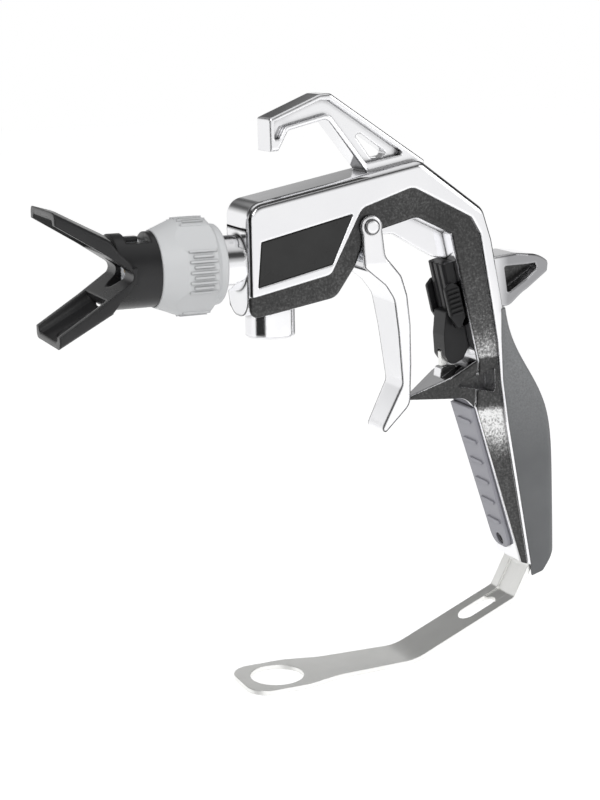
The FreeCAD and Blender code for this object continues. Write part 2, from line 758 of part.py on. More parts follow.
def rib_corners(turn, radius):
    """The section of one grip rib at an angle round the nut."""
    foot, crest = radius - 0.5, radius + size("rib_height")
    corners = []
    for side, reach in ((-RIB_FOOT, foot), (RIB_FOOT, foot), (RIB_CREST, crest), (-RIB_CREST, crest)):
        angle = math.radians(turn + side)
        corners.append((reach * math.cos(angle), reach * math.sin(angle)))
    return corners


def around(body, feature, sketch, count):
    """Repeat a feature evenly round the sketch's normal."""
    pattern = body.newObject("PartDesign::PolarPattern", "Around")
    pattern.Originals = [feature]
    pattern.Axis = (sketch, ["N_Axis"])
    pattern.Angle = 360
    pattern.Occurrences = count
    body.Tip = pattern
    return settle(pattern)


# The tip guard, as (x, z) from the spray axis; the upper wing is drawn and the lower one mirrors it

WING_TIP = (-91.0, 27.3)
WING_SECTION = [(-16.4, -12.5), (16.4, -12.5), (16.4, -1.9, 2.2), (0.0, 0.0, 60.0), (-16.4, -1.9, 2.2)]
CHANNEL_SECTION = [(-13.2, -14.0), (13.2, -14.0), (13.2, -3.4, 3.0), (0.0, -1.7, 50.0), (-13.2, -3.4, 3.0)]
WING_REAR = [
    (-60.0, -6.0), (-60.0, 0.0), (-63.2, 5.6), (-66.9, 9.1), (-69.8, 13.2), (-66.0, 22.0), (-40.0, 22.0),
    (-40.0, -6.0),
]
WING_END = [(-91.0, 10.0), (-91.0, 25.5), (-85.2, 24.2), (-85.2, 34.0), (-99.0, 34.0), (-99.0, 10.0)]
GUARD_MOUTH = [(-73.8, 10.0, 10.0), (-99.0, 25.8)]
MOUTH_VERTEX = (-59.1, 0.0, 3.0)
SLOT_RUN = (-87.0, -71.4)
FLAT_RUN = (-61.4, -51.5)
TIP_BED_PLAY = 0.3


def guard_wing(side):
    """One wing: a crowned web with two side walls, open to the spray axis and closed at its end."""
    body = new_body("wing_%d" % side, tool=True)
    lean = Rotation(Vector(1, 0, 0), side * size("wing_lean"))
    section = sketch_on(body, "section", "YZ_Plane")
    section.AttachmentOffset = Placement(Vector(0, side * WING_TIP[1], WING_TIP[0]), lean)
    pad(body, outline(section, mirrored(WING_SECTION, side)), "Sizes.wing_length", symmetric=False)
    pocket(body, outline(sketch_on(body, "rear", "XZ_Plane"), mirrored(WING_REAR, side)), THROUGH)
    channel = sketch_on(body, "channel", "YZ_Plane")
    start = Vector(0, side * WING_TIP[1], WING_TIP[0]) + lean.multVec(Vector(0, 0, size("wing_end")))
    channel.AttachmentOffset = Placement(start, lean)
    outline(channel, mirrored(CHANNEL_SECTION, side))
    pocket(body, channel, "Sizes.channel_length", symmetric=False, reverse=True)
    pocket(body, outline(sketch_on(body, "end", "XZ_Plane"), mirrored(WING_END, side)), THROUGH)
    return body


def mirrored(corners, side):
    """The outline as it is for side 1, or turned over in its second coordinate for side -1."""
    return [(corner[0], side * corner[1]) + tuple(corner[2:]) for corner in corners]


def tip_guard():
    """The black guard: a round tail with a flange, and two channel-shaped wings that form a V."""
    body = on_axis("tip_guard")
    radius, flange, rear = size("guard_radius"), size("flange_radius"), size("guard_rear")
    turned(body, "tail", [
        (-66.0, 0.0), (-66.0, radius), (-45.9, radius), (-45.0, flange), (rear, flange), (rear, 0.0),
    ])
    for side in (-1, 1):
        combine(body, guard_wing(side))
    lower = [(corner[0], -corner[1]) + tuple(corner[2:]) for corner in reversed(GUARD_MOUTH)]
    mouth = [MOUTH_VERTEX] + GUARD_MOUTH + lower
    pocket(body, outline(sketch_on(body, "mouth", "XZ_Plane"), mouth), "Sizes.guard_width + 4")
    slot = size("slot_width") / 2
    corners = box_corners(SLOT_RUN[0], -slot, SLOT_RUN[1], slot, slot - 0.1)
    sketch = outline(sketch_on(body, "slots", "XY_Plane"), corners)
    pocket(body, sketch, THROUGH)
    flat = size("guard_flat")
    corners = box_corners(FLAT_RUN[0], flat, FLAT_RUN[1], flat + 9)
    pocket(body, outline(sketch_on(body, "flat", "XZ_Plane"), corners), "Sizes.guard_width + 4")
    centre = (0.0, 0.0)
    bore(body, "throat", "YZ_Plane", size("throat_start"), centre, "throat_radius", "Sizes.throat_length")
    bore(body, "seal_bed", "YZ_Plane", size("seal_bed_start"), centre, "seal_hole", "Sizes.seal_bed_length")
    low, centre = -size("tip_half") - TIP_BED_PLAY, (size("tip_x"), 0.0)
    bore(body, "tip_bed", "XY_Plane", low, centre, "tip_hole", "Sizes.tip_bed_length", reverse=True)


def spray_tip():
    """The steel tip that stands upright in the guard and can be turned round to clear it."""
    body = on_axis("spray_tip")
    x = size("tip_x")
    low = -size("tip_half")
    pad(body, circle(sketch_on(body, "barrel", "XY_Plane", low), x, 0.0, "tip_radius"),
        "Sizes.tip_half + Sizes.guard_flat", symmetric=False)
    bore(body, "passage", "YZ_Plane", x + 10, (0.0, 0.0), "tip_passage", "Sizes.passage_length")
    sketch = sketch_on(body, "cut", "XY_Plane")
    outline(sketch, [(x - 7.0, -4.6), (x - 7.0, 4.6), (x - 1.8, 1.7), (x - 1.8, -1.7)])
    pocket(body, sketch, "2 * Sizes.tip_passage")
    key = on_axis("tip_key")
    tab = sketch_on(key, "tab", "XY_Plane", size("guard_flat"))
    pad(key, outline(tab, box_corners(x - 4.5, -2.0, x + 1.7, 2.0, 0.8)), "Sizes.tip_key", symmetric=False)
    orifice = on_axis("spray_orifice")
    passage = size("tip_passage")
    turned(orifice, "orifice", [
        (x - 3.2, 0.9), (x - 2.6, 1.8), (x - 1.8, passage), (x + 4.0, passage), (x + 4.0, 1.2),
        (x - 1.4, 0.4), (x - 2.2, 0.4),
    ])
    seal = on_axis("tip_seal")
    front, rear = x + size("tip_radius") + 0.35, size("guard_rear")
    outer = size("seal_radius")
    turned(seal, "seal", [(front, 1.4), (front, 3.6), (front + 1.0, outer), (rear, outer), (rear, 1.4)])


def leaning(body, angle, x, z=0.0):
    """Lean a sub-part back about the Y axis and stand it on a point of the side view."""
    body.Placement = Placement(Vector(x, 0, z), Rotation(Vector(0, 1, 0), angle))


# The trigger lock, as (x, z) from the foot of the spine's front, along the spine

RAIL_FOOT = -2.0
TONGUE_SIDE = [
    (-7.0, 5.6, 1.5), (-10.2, -4.0, 4.0), (-11.6, -12.8, 2.5), (-9.8, -17.4, 3.0), (-4.0, -16.4, 2.5),
    (0.0, -12.0), (0.0, 5.6),
]
STRIP_SLOT = [(-16.0, -30.0), (-16.0, -10.4), (-5.0, -10.4), (-3.0, -30.0)]
SLIDER_PAD = [
    (-0.6, 15.0, 1.0), (-3.6, 18.2, 1.5), (-7.2, 15.6, 1.5), (-7.2, 4.0, 2.0), (-4.6, -3.0, 1.2),
    (-0.6, 2.0, 1.0),
]
LINK_LOW, LINK_TOP = 6.0, 16.0
LINK_FRONT, LINK_BACK = 1.5, 0.3
TEETH = 6
TOOTH_RUN = (-6.6, -1.2)

# The metal strip, in the side view
STRIP_SIDE = [(76.9, -19.98), (79.5, -19.63), (79.2, -13.6, 1.0), (76.4, -13.0, 1.0)]


def trigger_lock():
    """The lock on the spine's front: rail with tongue, slider with ribbed pads, and metal strip."""
    lean = -size("spine_lean")
    foot = size("spine_x")
    rail = new_body("lock_rail")
    leaning(rail, lean, foot)
    half = size("rail_width") / 2
    depth = size("rail_depth")
    bottom = -depth + size("rail_groove")
    sketch = sketch_on(rail, "section", "XY_Plane", RAIL_FOOT)
    outline(sketch, [
        (0.0, -half), (-depth + 1.0, -half, 0.6), (-depth, -half + 1.5, 0.5), (-depth, -3.2), (bottom, -2.4),
        (bottom, -1.8), (-depth, -1.2), (-depth, 1.2), (bottom, 1.8), (bottom, 2.4), (-depth, 3.2),
        (-depth, half - 1.5, 0.5), (-depth + 1.0, half, 0.6), (0.0, half),
    ])
    pad(rail, sketch, "Sizes.rail_length", symmetric=False)
    pad(rail, outline(sketch_on(rail, "tongue", "XZ_Plane"), TONGUE_SIDE), "Sizes.tongue_width")
    pocket(rail, outline(sketch_on(rail, "strip_slot", "XZ_Plane"), STRIP_SLOT), "Sizes.lock_slot")
    groove = box_corners(-LINK_FRONT - size("link_play"), -2.6, 0.1, LINK_TOP + 0.4)
    pocket(rail, outline(sketch_on(rail, "link_groove", "XZ_Plane"), groove), "Sizes.rail_width + 2")
    lock_slider(lean, foot)
    strip = new_body("lock_strip")
    pad(strip, outline(sketch_on(strip, "strip", "XZ_Plane"), STRIP_SIDE), "Sizes.strip_gauge")


def lock_slider(lean, foot):
    """Two ribbed finger pads beside the rail, joined by a link that runs in the rail's back."""
    slider = new_body("lock_slider")
    leaning(slider, lean, foot)
    inner = size("rail_width") / 2 + size("running_gap")
    outer = size("slider_width") / 2
    for side in (-1, 1):
        sketch = sketch_on(slider, "pad_%d" % side, "XZ_Plane", -side * inner)
        outline(sketch, SLIDER_PAD)
        width = "(Sizes.slider_width - Sizes.rail_width) / 2 - Sizes.running_gap"
        pad(slider, sketch, width, symmetric=False, reverse=side > 0)
        if side < 0:
            link = sketch_on(slider, "link", "XZ_Plane")
            outline(link, box_corners(-LINK_FRONT, LINK_LOW, -LINK_BACK, LINK_TOP))
            pad(slider, link, "Sizes.rail_width + 2 * Sizes.running_gap")
    for side in (-1, 1):
        sketch = sketch_on(slider, "teeth_%d" % side, "XZ_Plane", -side * outer)
        for number in range(TEETH):
            level = LINK_TOP - 1.0 - number * 2.0
            outline(sketch, box_corners(TOOTH_RUN[0], level - 1.0, TOOTH_RUN[1], level))
        pad(slider, sketch, "Sizes.pad_tooth", symmetric=False, reverse=side > 0)


# The rear grip's sections, as (level, back, round of its back corners), and its cuts in the side view

GRIP_ROOT = 96.0
GRIP_LEVELS = [
    (3.9, 103.4, 4.4), (-5.0, 106.2, 6.2), (-17.0, 112.2, 7.6), (-31.0, 119.9, 5.4), (-44.0, 125.0, 5.0),
    (-60.0, 127.2, 5.0), (-82.0, 128.1, 5.0), (-102.0, 128.7, 5.0), (-118.0, 128.9, 5.0),
]
GRIP_FRONT = [
    (90.0, 10.0), (99.6, 10.0), (99.8, -8.0), (100.8, -26.0, 30.0), (103.5, -44.5, 30.0), (115.7, -109.2),
    (117.4, -120.0), (90.0, -120.0),
]
GRIP_FOOT = [
    (133.0, -98.0), (128.0, -104.6, 3.0), (121.8, -113.4, 2.0), (114.0, -115.6), (114.0, -122.0),
    (133.0, -122.0),
]
GRIP_HOLLOW = [
    (110.0, -100.0), (106.9, -60.0, 10.0), (104.8, -44.5, 20.0), (104.4, -28.0), (107.6, -20.0, 3.0),
    (116.6, -34.0, 20.0), (121.8, -47.6, 10.0), (124.6, -99.0, 3.0), (119.6, -109.8, 1.0), (118.4, -109.8),
]
TANG_BED = [(109.0, -89.6), (115.2, -89.6), (119.2, -110.4), (119.2, -116.0), (105.0, -116.0)]


def rear_grip():
    """The soft shell behind the handle, hollow inside, with a bed for the bracket's tang."""
    body = new_body("rear_grip_shell")
    half = size("grip_width") / 2
    sections = []
    for number, (level, back, turn) in enumerate(GRIP_LEVELS):
        sketch = sketch_on(body, "section_%d" % number, "XY_Plane", level)
        corners = [(GRIP_ROOT, -half), (back, -half, turn), (back, half, turn), (GRIP_ROOT, half)]
        sections.append(outline(sketch, corners))
    loft = body.newObject("PartDesign::AdditiveLoft", "Shell")
    loft.Profile = sections[0]
    loft.Sections = sections[1:]
    settle(loft)
    pocket(body, outline(sketch_on(body, "front", "XZ_Plane"), GRIP_FRONT), THROUGH)
    pocket(body, outline(sketch_on(body, "foot", "XZ_Plane"), GRIP_FOOT), THROUGH)
    pocket(body, outline(sketch_on(body, "hollow", "XZ_Plane"), GRIP_HOLLOW), "Sizes.grip_hollow")
    pocket(body, outline(sketch_on(body, "tang_bed", "XZ_Plane"), TANG_BED), "Sizes.tang_bed")


# The front strip along the handle, as levels from its top

STRIP_TOP, STRIP_END = -0.6, -69.0
STRIP_FIRST_RIB = -7.4
STRIP_RIBS = 6
RIB_HALF_WIDTH, RIB_HALF_HEIGHT = 5.4, 0.8
SCREW_LEVEL = -65.4


def front_strip():
    """The ribbed insert on the handle's front, and the screw at its foot."""
    body = new_body("front_grip_strip")
    leaning(body, -size("handle_lean"), HANDLE_TOP[0], HANDLE_TOP[1])
    upper, lower = size("strip_width") / 2, size("strip_foot") / 2
    front = sketch_on(body, "front", "YZ_Plane")
    foot = [(-lower, STRIP_END, 5.0), (lower, STRIP_END, 5.0)]
    outline(front, [(-upper, STRIP_TOP)] + foot + [(upper, STRIP_TOP)])
    pad(body, front, "Sizes.strip_thickness", symmetric=False, reverse=True)
    sketch = sketch_on(body, "ribs", "YZ_Plane", -size("strip_thickness"))
    for number in range(STRIP_RIBS):
        level = STRIP_FIRST_RIB - number * size("strip_pitch")
        low, high = level - RIB_HALF_HEIGHT, level + RIB_HALF_HEIGHT
        outline(sketch, box_corners(-RIB_HALF_WIDTH, low, RIB_HALF_WIDTH, high, 0.7))
    pad(body, sketch, "Sizes.strip_rib", symmetric=False, reverse=True)
    bore(body, "screw_hole", "YZ_Plane", -5.0, (0.0, SCREW_LEVEL), "screw_hole", "Sizes.screw_hole_length",
         reverse=True)
    screw = new_body("handle_screw")
    leaning(screw, -size("handle_lean"), HANDLE_TOP[0] - 0.06, HANDLE_TOP[1])
    head = circle(sketch_on(screw, "head", "YZ_Plane"), 0.0, SCREW_LEVEL, "screw_head")
    pad(screw, head, "Sizes.screw_height", symmetric=False, reverse=True)
    socket = sketch_on(screw, "socket", "YZ_Plane", -size("screw_height"))
    outline(socket, six_corners(size("screw_socket"), SCREW_LEVEL))
    pocket(screw, socket, "Sizes.screw_height / 2", symmetric=False, reverse=True)


BRACKET_PATH = [(111.9, -90.0), (115.4, -109.8), (108.0, -124.0), (60.0, -144.4), (-16.4, -144.4)]
BRACKET_PLAN = [
    (120.0, 10.0), (58.0, 10.0, 30.0), (24.0, 11.2, 40.0), (9.0, 15.0, 12.0), (-16.4, 15.0, 9.0),
    (-16.4, -15.0, 9.0), (9.0, -15.0, 12.0), (24.0, -11.2, 40.0), (58.0, -10.0, 30.0), (120.0, -10.0),
]
BRACKET_EMBOSS = [(113.2, -110.8), (106.7, -122.6), (100.9, -125.4), (101.8, -127.5), (108.58, -124.62, 1.5),
                  (115.2, -111.9)]


BRACKET_SLOT = (86.6, 104.0)
BRACKET_BEND = 24.0
TANG_BEND = 1.5


def hose_bracket():
    """The bent sheet bracket with the ring that the hose passes through."""
    body = new_body("hose_bracket")
    gauge = size("sheet")
    upper = [Vector(*point, 0) for point in BRACKET_PATH]
    last = len(upper) - 1
    offset = []
    for index, point in enumerate(upper):
        before = (point - upper[index - 1]).normalize() if index else (upper[1] - point).normalize()
        after = (upper[index + 1] - point).normalize() if index < last else before
        normal = Vector(0, 0, 1).cross((before + after).normalize())
        reach = gauge / normal.dot(Vector(0, 0, 1).cross(before))
        offset.append(point + normal * reach)
    corners = [(point.x, point.y) for point in upper] + [(point.x, point.y) for point in reversed(offset)]
    rounds = [None, TANG_BEND + gauge, TANG_BEND, BRACKET_BEND, None]
    rounds += [None, BRACKET_BEND + gauge, TANG_BEND + gauge, TANG_BEND, None]
    corners = [corner if extra is None else corner + (extra,) for corner, extra in zip(corners, rounds)]
    pad(body, outline(sketch_on(body, "side", "XZ_Plane"), corners), "Sizes.bracket_blank")
    rim = sketch_on(body, "plan", "XY_Plane")
    outline(rim, box_corners(-40.0, -40.0, 140.0, 40.0))
    outline(rim, BRACKET_PLAN)
    pocket(body, rim, THROUGH)
    pocket(body, circle(sketch_on(body, "ring", "XY_Plane"), 0.0, 0.0, "ring_radius"), THROUGH)
    wide = size("slot_wide") / 2
    slot = box_corners(BRACKET_SLOT[0], -wide, BRACKET_SLOT[1], wide, wide - 0.1)
    pocket(body, outline(sketch_on(body, "slot", "XY_Plane"), slot), THROUGH)
    pocket(body, outline(sketch_on(body, "emboss", "XZ_Plane"), BRACKET_EMBOSS), "Sizes.emboss_width")


gun_body()
label_plates()
fluid_head()
inlet_stub()
valve_parts()
needle()
retaining_nut()
tip_guard()
spray_tip()
trigger()
trigger_pins()
trigger_lock()
front_strip()
rear_grip()
hose_bracket()

doc.recompute()
for item in doc.Objects:
    if "Invalid" in item.State or "Error" in item.State:
        raise RuntimeError("%s failed" % item.Label)
for item in parts:
    if item.Shape.isNull() or not item.Shape.isValid() or len(item.Shape.Solids) != 1:
        raise RuntimeError("%s is not one sound solid" % item.Label)
for item in parts:
    item.Shape.exportStep("parts/%s.step" % item.Label)
print("%d sub-parts written" % len(parts))
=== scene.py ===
import json
import math

import bpy
from mathutils import Matrix, Vector


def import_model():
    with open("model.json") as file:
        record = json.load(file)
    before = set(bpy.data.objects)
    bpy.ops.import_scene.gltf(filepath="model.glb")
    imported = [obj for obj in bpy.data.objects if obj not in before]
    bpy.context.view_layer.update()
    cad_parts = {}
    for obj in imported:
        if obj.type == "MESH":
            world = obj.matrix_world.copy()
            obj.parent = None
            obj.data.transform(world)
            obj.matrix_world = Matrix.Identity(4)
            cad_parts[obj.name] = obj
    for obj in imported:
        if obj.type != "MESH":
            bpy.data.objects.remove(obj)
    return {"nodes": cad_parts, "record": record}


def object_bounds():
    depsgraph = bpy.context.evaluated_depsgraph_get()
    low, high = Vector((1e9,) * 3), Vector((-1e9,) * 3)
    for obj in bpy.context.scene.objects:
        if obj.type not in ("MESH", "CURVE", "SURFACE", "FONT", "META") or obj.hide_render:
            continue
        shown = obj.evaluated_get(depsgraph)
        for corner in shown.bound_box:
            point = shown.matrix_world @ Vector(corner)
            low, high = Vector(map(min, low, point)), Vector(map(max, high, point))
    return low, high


# An airless spray gun hung in a plain studio. Metres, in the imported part's own frame.

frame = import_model()
cad_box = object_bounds()

MM = 0.001

# The photograph's camera
CAMERA_PLACE = Vector((-258.6, -620.1, 125.8)) * MM
CAMERA_AZIMUTH = math.radians(-23.61)
CAMERA_ELEVATION = math.radians(12.79)
CAMERA_ROLL = math.radians(-0.93)
CAMERA_LENS = 76.88
SENSOR_WIDTH = 36.0
NEAREST, FARTHEST = 0.01, 50.0

# The studio
FLOOR_DROP = 160 * MM
FLOOR_LEVEL = cad_box[0].z - FLOOR_DROP
FLOOR_SIZE = 12.0
FLOOR_GREY = 0.9
FLOOR_GLOW = 0.46
WORLD_LIGHT = 0.6
WALL_DEPTH = 0.8
WALL_HALF_WIDTH = 2.5

# The room as metal sees it: (height of the direction, grey), from straight down to straight up
ROOM_GREYS = [(-1.0, 1.0), (0.1, 1.0), (0.22, 0.62), (0.37, 0.42),
              (0.44, 0.08), (0.68, 0.05), (0.8, 0.6), (1.0, 0.9)]

# The wall behind the gun as metal sees it: (height, grey), up to the wall's top
WALL_GREYS = [(FLOOR_LEVEL, 1.0), (0.14, 1.0), (0.2, 0.75), (0.26, 0.45), (0.31, 0.16),
              (0.36, 0.09), (0.4, 0.3), (0.46, 0.38), (0.5, 0.06), (1.4, 0.05)]

# Cards that only metal sees; the level is their grey
CARDS = {
    "left_card": dict(place=(-0.86, -0.36, -0.1), width=0.85, height=1.1, level=0.03),
    "left_floor_card": dict(place=(-0.62, -0.25, FLOOR_LEVEL + 1 * MM), width=0.62, height=0.5, level=0.03,
                            flat=True),
    "right_card": dict(place=(0.86, 0.42, -0.1), width=0.45, height=1.1, level=0.22),
}

LAMPS = {
    "key": dict(place=(-0.9, -1.1, 1.0), target=(0, 0, 0), size=1.0, power=9.0),
    "fill": dict(place=(1.2, -0.9, 0.6), target=(0.05, 0, 0), size=0.8, power=4.0),
}

# Where the casting's mottle, painted reflections and painted shade change; depths are from its middle plane
SIDEWAYS = 0.6
PANEL_DEPTH = 12.3 * MM
CORE_WALL_DEPTH = 10.6 * MM
WEB_DEPTH = 2.7 * MM
HOOK_FOOT = 62 * MM
GUSSET_FOOT, GUSSET_BACK = 20 * MM, 90 * MM
SPUR_FRONT, SPUR_FOOT = 96 * MM, 3 * MM
SPUR_FADE = (97 * MM, 104 * MM)
SPUR_SIDE_DEPTH = 8 * MM
SPUR_TAPER, SPUR_TAPER_LEVEL = 0.29, 40.8 * MM

# Painted reflection: how bright the lighter bands painted on the handle's sunk band are: (height in mm,
# tone)
BAND_HIGHLIGHTS = [(-70, 0.0), (-62, 0.0), (-48, 0.62), (-39, 0.66), (-36, 0.0),
          (-16.5, 0.0), (-15.5, 0.5), (-2, 0.08), (10, 0.0)]

# The greys of the sunk bands, from their mottle darkened as painted dark reflection to the lighter painted
# reflection bands: (tone, grey)
SUNK_MOTTLE_AND_REFLECTION_GREYS = [(0.0, 0.035), (0.35, 0.06), (0.6, 0.11), (0.8, 0.3), (1.0, 0.75)]

# The heights over which the grip turns paler, from none to most
PALER_TOP_HEIGHT = (-62 * MM, -24 * MM)

# Painted shade: corners narrower than this are darkened in the colour
METAL_SHADE_REACH = 3.0 * MM
PLASTIC_SHADE_REACH = 1.6 * MM

# Painted shade in corners, painted dark edge reflections on chrome, and the painted dim reflection on the
# rear spur's sides
CAST_SHADOW = (0.05, 0.05, 0.052)
CHROME_SHADOW = (0.05, 0.05, 0.05)
CHROME_EDGE_REFLECTION = (0.06, 0.06, 0.062)
SPUR_REFLECTION_GREY = (0.33, 0.33, 0.34)

BARE_METALS = {
    "steel": dict(colour=(0.60, 0.61, 0.63), roughness=0.25),
    "brass": dict(colour=(0.72, 0.52, 0.24), roughness=0.28),
    "dark_steel": dict(colour=(0.09, 0.09, 0.095), roughness=0.35),
}

MOULDINGS = {
    "black_plastic": dict(colour=(0.009, 0.009, 0.010), roughness=0.3, grain=1800.0, depth=0.04 * MM,
                          wear=0.1, shine=0.3, edge=1.5 * MM),
    "lock_plastic": dict(colour=(0.005, 0.005, 0.006), roughness=0.3, grain=2200.0, depth=0.03 * MM,
                         wear=0.1, shine=0.22, edge=0.8 * MM),
    "nut_plastic": dict(colour=(0.66, 0.67, 0.68), roughness=0.45, grain=1600.0, depth=0.04 * MM,
                        wear=0.15, edge=0.9 * MM),
    "grip_plastic": dict(colour=(0.10, 0.105, 0.11), roughness=0.42, grain=1500.0, depth=0.08 * MM,
                         paler_top=(0.24, 0.245, 0.25)),
    "strip_plastic": dict(colour=(0.33, 0.33, 0.37), roughness=0.4, grain=1500.0, depth=0.04 * MM),
    "label_black": dict(colour=(0.008, 0.008, 0.008), roughness=0.3, grain=2500.0, depth=0.02 * MM,
                        wear=0.1, shine=0.36),
    "seal": dict(colour=(0.72, 0.68, 0.58), roughness=0.45, grain=1500.0, depth=0.03 * MM),
}


# Node trees


class Tree:
    """A short way to write a node tree."""

    def __init__(self, tree):
        self.tree = tree
        self.tree.nodes.clear()

    def add(self, kind, **sockets):
        """A node with its settings; a value that is another node's socket is linked."""
        node = self.tree.nodes.new("ShaderNode" + kind)
        for key, value in sockets.items():
            self.put(node, key, value)
        return node

    def put(self, node, key, value):
        """Set one property, or one input by its name or number."""
        wanted = key.replace("_", " ").lower()
        for index, socket in enumerate(node.inputs):
            if wanted in (socket.name.lower(), "in%d" % index):
                self.fill(socket, value)
                return
        setattr(node, key, value)

    def fill(self, socket, value):
        """Give an input a plain value, or link it to another node's socket."""
        if isinstance(value, bpy.types.NodeSocket):
            self.tree.links.new(value, socket)
        else:
            socket.default_value = value


def opaque(colour):
    """A colour with its alpha."""
    return (*colour, 1)


def grey(level):
    """An opaque grey."""
    return opaque((level, level, level))


def calc(tree, operation, *values):
    """The result of a Math node."""
    sockets = {"in%d" % index: value for index, value in enumerate(values)}
    return tree.add("Math", operation=operation, **sockets).outputs[0]


def above(tree, value, limit):
    """1 where the value is over the limit."""
    return calc(tree, "GREATER_THAN", value, limit)


def product(tree, *values):
    """The product of several masks."""
    result = values[0]
    for value in values[1:]:
        result = calc(tree, "MULTIPLY", result, value)
    return result


def inverse(tree, value):
    """1 minus a mask."""
    return calc(tree, "SUBTRACT", 1.0, value)


def share(tree, value, first, last):
    """How far a value has gone from first to last, between 0 and 1."""
    return tree.add("MapRange", value=value, from_min=first, from_max=last).outputs["Result"]


def spread(tree, value, low, high, first=0.3, last=0.7):
    """A result from low to high, as a value goes from first to last."""
    node = tree.add("MapRange", value=value, from_min=first, from_max=last, to_min=low, to_max=high)
    return node.outputs["Result"]


def mix(tree, portion, first, second):
    """Mix two colours that come from sockets or are plain values."""
    node = tree.add("Mix", data_type="RGBA")
    values = {"Factor_Float": portion, "A_Color": first, "B_Color": second}
    for socket in node.inputs:
        if socket.identifier in values:
            value = values[socket.identifier]
            tree.fill(socket, opaque(value) if isinstance(value, tuple) else value)
    return next(socket for socket in node.outputs if socket.identifier == "Result_Color")


def greys(tree, value, rows, unit=1.0):
    """Greys that follow a value, by rows of (value, grey)."""
    first, last = rows[0][0] * unit, rows[-1][0] * unit
    ramp = tree.add("ValToRGB", fac=share(tree, value, first, last))
    elements = ramp.color_ramp.elements
    while len(elements) > 1:
        elements.remove(elements[-1])
    for index, (place, level) in enumerate(rows):
        position = (place * unit - first) / (last - first)
        element = elements[0] if index == 0 else elements.new(position)
        element.position = position
        element.color = grey(level)
    return ramp.outputs["Color"]


# Camera, lamps and studio


def linked(name, data):
    """A new object in the scene."""
    item = bpy.data.objects.new(name, data)
    bpy.context.collection.objects.link(item)
    return item


def camera():
    """A camera where the photograph's camera stood."""
    data = bpy.data.cameras.new("camera")
    data.lens = CAMERA_LENS
    data.sensor_width = SENSOR_WIDTH
    data.clip_start = NEAREST
    data.clip_end = FARTHEST
    item = linked("camera", data)
    back = Vector((
        math.sin(CAMERA_AZIMUTH) * math.cos(CAMERA_ELEVATION),
        -math.cos(CAMERA_AZIMUTH) * math.cos(CAMERA_ELEVATION),
        math.sin(CAMERA_ELEVATION),
    ))
    turn = (-back).to_track_quat("-Z", "Y").to_matrix().to_4x4()
    item.matrix_world = Matrix.Translation(CAMERA_PLACE) @ turn @ Matrix.Rotation(CAMERA_ROLL, 4, "Z")
    bpy.context.scene.camera = item


def lamp(name, place, target, size, power):
    """A soft square lamp aimed at a point."""
    data = bpy.data.lights.new(name, "AREA")
    data.shape = "SQUARE"
    data.size = size
    data.energy = power
    item = linked(name, data)
    item.location = place
    item.rotation_euler = (Vector(target) - Vector(place)).to_track_quat("-Z", "Y").to_euler()


def sight(tree):
    """1 for what is seen straight on, in metal or through glass; 0 for the light that falls on things."""
    path = tree.add("LightPath")
    seen = calc(tree, "MAXIMUM", path.outputs["Is Camera Ray"], path.outputs["Is Glossy Ray"])
    return calc(tree, "MAXIMUM", seen, path.outputs["Is Transmission Ray"])


def world():
    """A white studio; metal sees its wall turn to grey, and to a dark ceiling with a bright middle."""
    item = bpy.data.worlds.new("studio")
    bpy.context.scene.world = item
    item.use_nodes = True
    tree = Tree(item.node_tree)
    direction = tree.add("TexCoord").outputs["Generated"]
    height = tree.add("SeparateXYZ", vector=direction).outputs["Z"]
    room = tree.add("Background", color=greys(tree, height, ROOM_GREYS), strength=1.0)
    light = tree.add("Background", color=grey(1), strength=WORLD_LIGHT)
    plain = tree.add("Background", color=grey(1), strength=1.0)
    straight = tree.add("LightPath").outputs["Is Camera Ray"]
    shown = tree.add("MixShader", fac=straight, in1=room.outputs[0], in2=plain.outputs[0])
    both = tree.add("MixShader", fac=sight(tree), in1=light.outputs[0], in2=shown.outputs[0])
    tree.add("OutputWorld", surface=both.outputs[0])


def stage_piece(name, corners):
    """A flat studio surface with a new material, as the object and the material's tree."""
    mesh = bpy.data.meshes.new(name)
    mesh.from_pydata(corners, [], [(0, 1, 2, 3)])
    item = linked(name, mesh)
    material = bpy.data.materials.new(name)
    material.use_nodes = True
    mesh.materials.append(material)
    return item, Tree(material.node_tree)


def upright(half_width, low, high, depth=0.0):
    """The corners of an upright rectangle."""
    return [(x, depth, z) for x, z in
            ((-half_width, low), (half_width, low), (half_width, high), (-half_width, high))]


def floor():
    """A plain pale floor below the gun, white to the camera."""
    half = FLOOR_SIZE / 2
    tree = stage_piece("floor", [(x, y, FLOOR_LEVEL) for x, y in
                                 ((-half, -half), (half, -half), (half, half), (-half, half))])[1]
    matt = tree.add("BsdfDiffuse", color=grey(FLOOR_GREY))
    glow = tree.add("Emission", color=grey(1), strength=FLOOR_GLOW)
    shown = tree.add("AddShader", in0=matt.outputs[0], in1=glow.outputs[0])
    both = tree.add("MixShader", fac=sight(tree), in1=matt.outputs[0], in2=shown.outputs[0])
    tree.add("OutputMaterial", surface=both.outputs[0])


def glowing(name, corners):
    """A studio surface that only polished things pick up, as the object, its tree and its glow."""
    item, tree = stage_piece(name, corners)
    item.visible_camera = False
    item.visible_diffuse = False
    item.visible_shadow = False
    glow = tree.add("Emission", strength=1.0)
    tree.add("OutputMaterial", surface=glow.outputs[0])
    return item, tree, glow


def card(name, place, width, height, level, flat=False):
    """A grey card, upright or lying flat, turned towards the gun."""
    item, tree, glow = glowing(name, upright(width / 2, -height / 2, height / 2))
    item.location = place
    item.rotation_euler = (math.pi / 2 if flat else 0, 0, math.atan2(place[1], place[0]) + math.pi / 2)
    tree.put(glow, "color", grey(level))


def far_wall():
    """The wall behind the gun."""
    top = WALL_GREYS[-1][0]
    tree, glow = glowing("far_wall", upright(WALL_HALF_WIDTH, FLOOR_LEVEL, top, WALL_DEPTH))[1:]
    height = tree.add("SeparateXYZ", vector=tree.add("TexCoord").outputs["Object"]).outputs["Z"]
    tree.put(glow, "color", greys(tree, height, WALL_GREYS))


# Materials


